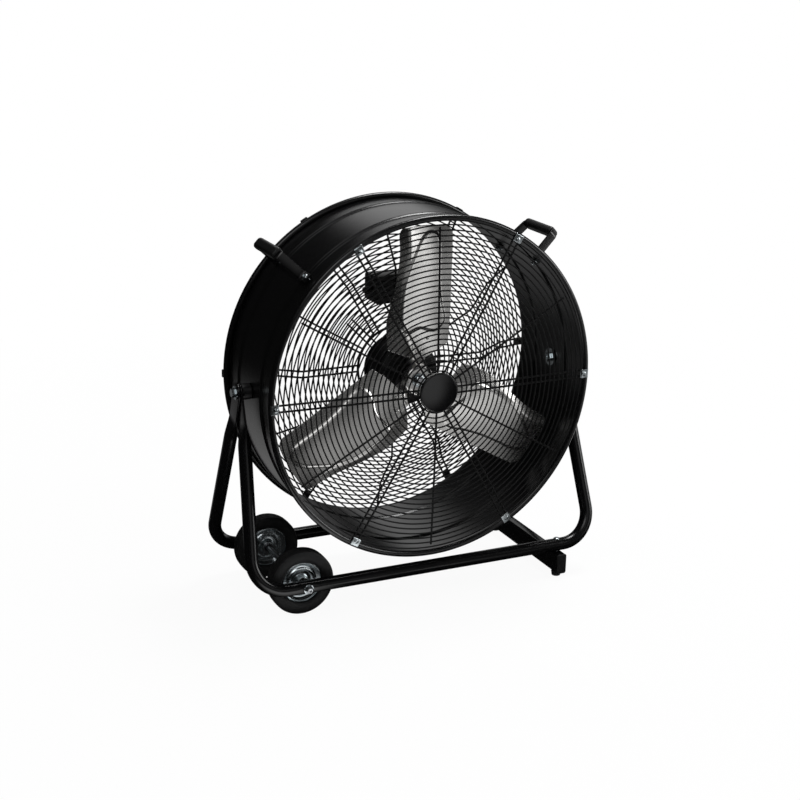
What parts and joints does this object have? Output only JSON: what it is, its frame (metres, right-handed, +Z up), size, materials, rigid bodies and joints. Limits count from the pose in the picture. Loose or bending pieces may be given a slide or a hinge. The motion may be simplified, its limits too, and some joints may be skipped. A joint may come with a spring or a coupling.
{
  "type": "drum fan",
  "caption": "Portable drum fan: a steel drum with wire guards and broad aluminium blades, tilting between bent tube legs on wheels and a foot bar.",
  "frame": {"origin": "on the floor under the middle of the tilt axis", "axes": "+X towards the foot bar, along the tilt axis; +Y from the outlet to the intake; +Z up"},
  "size_m": [0.7354, 0.294, 0.7405],
  "materials": {
    "frame_paint": "semi-gloss black powder coat",
    "drum_paint": "gloss black powder coat",
    "guard_wire": "satin black powder coat",
    "motor_paint": "satin black enamel",
    "zinc_plate": "bright zinc plate",
    "bright_steel": "turned steel",
    "blade_aluminium": "mill finish, pressed",
    "tyre_rubber": "moulded black rubber",
    "foot_rubber": "moulded black rubber",
    "grip_foam": "black foam grip",
    "black_plastic": "moulded black plastic",
    "lead_jacket": "black cable jacket"
  },
  "bodies": {
    "frame": {"front_frame_tube": "frame_paint", "rear_frame_tube": "frame_paint", "wheel_axle": "bright_steel", "axle_nut_front": "zinc_plate", "axle_nut_rear": "zinc_plate", "foot_bar": "frame_paint", "bar_plug_front": "black_plastic", "bar_plug_rear": "black_plastic", "rubber_foot_front": "foot_rubber", "rubber_foot_rear": "foot_rubber", "bar_bolt_front": "zinc_plate", "bar_bolt_rear": "zinc_plate"},
    "front_wheel": {"tyre_front": "tyre_rubber", "wheel_rim_front": "zinc_plate", "wheel_bush_front": "black_plastic"},
    "rear_wheel": {"tyre_rear": "tyre_rubber", "wheel_rim_rear": "zinc_plate", "wheel_bush_rear": "black_plastic"},
    "drum": {"pivot_bolt_left": "zinc_plate", "pivot_bolt_right": "zinc_plate", "pivot_nut_left": "zinc_plate", "pivot_nut_right": "zinc_plate", "guard_clip_1": "zinc_plate", "guard_clip_2": "zinc_plate", "guard_clip_3": "zinc_plate", "guard_clip_4": "zinc_plate", "guard_clip_5": "zinc_plate", "guard_clip_6": "zinc_plate", "handle_bolt_left_front": "zinc_plate", "handle_bolt_left_rear": "zinc_plate", "handle_bolt_right_front": "zinc_plate", "handle_bolt_right_rear": "zinc_plate", "drum_shell": "drum_paint", "handle_strap_left": "drum_paint", "handle_strap_right": "drum_paint", "front_guard": "guard_wire", "rear_guard_dish": "guard_wire", "rear_guard_grille": "guard_wire", "motor_mount_plate": "motor_paint", "motor_body": "motor_paint", "motor_end_bell": "motor_paint", "handle_grip_left": "grip_foam", "handle_grip_right": "grip_foam", "guard_badge": "black_plastic", "pivot_spacer_left": "black_plastic", "pivot_spacer_right": "black_plastic", "switch_box": "black_plastic", "switch_box_lid": "black_plastic", "rotary_switch": "black_plastic", "run_capacitor": "black_plastic", "lead_gland": "black_plastic", "motor_lead": "lead_jacket"},
    "rotor": {"motor_shaft": "bright_steel", "fan_hub": "blade_aluminium", "hub_nut": "zinc_plate", "blade_a": "blade_aluminium", "blade_b": "blade_aluminium", "blade_c": "blade_aluminium"},
    "knob": {"speed_knob": "black_plastic"}
  },
  "joints": [
    {"name": "drum_tilt", "type": "hinge", "parent": "frame", "child": "drum", "pos_m": [0, 0, 0.4125], "axis": [1, 0, 0], "range_deg": [-90, 90]},
    {"name": "rotor_spin", "type": "hinge", "parent": "drum", "child": "rotor", "pos_m": [0, 0, 0.4125], "axis": [0, 1, 0], "continuous": true},
    {"name": "front_wheel_spin", "type": "hinge", "parent": "frame", "child": "front_wheel", "pos_m": [-0.255, 0, 0.0625], "axis": [0, 1, 0], "continuous": true},
    {"name": "rear_wheel_spin", "type": "hinge", "parent": "frame", "child": "rear_wheel", "pos_m": [-0.255, 0, 0.0625], "axis": [0, 1, 0], "continuous": true},
    {"name": "speed_knob_turn", "type": "hinge", "parent": "drum", "child": "knob", "pos_m": [0, 0, 0.5615], "axis": [0, -1, 0], "range_deg": [0, 135]}
  ]
}
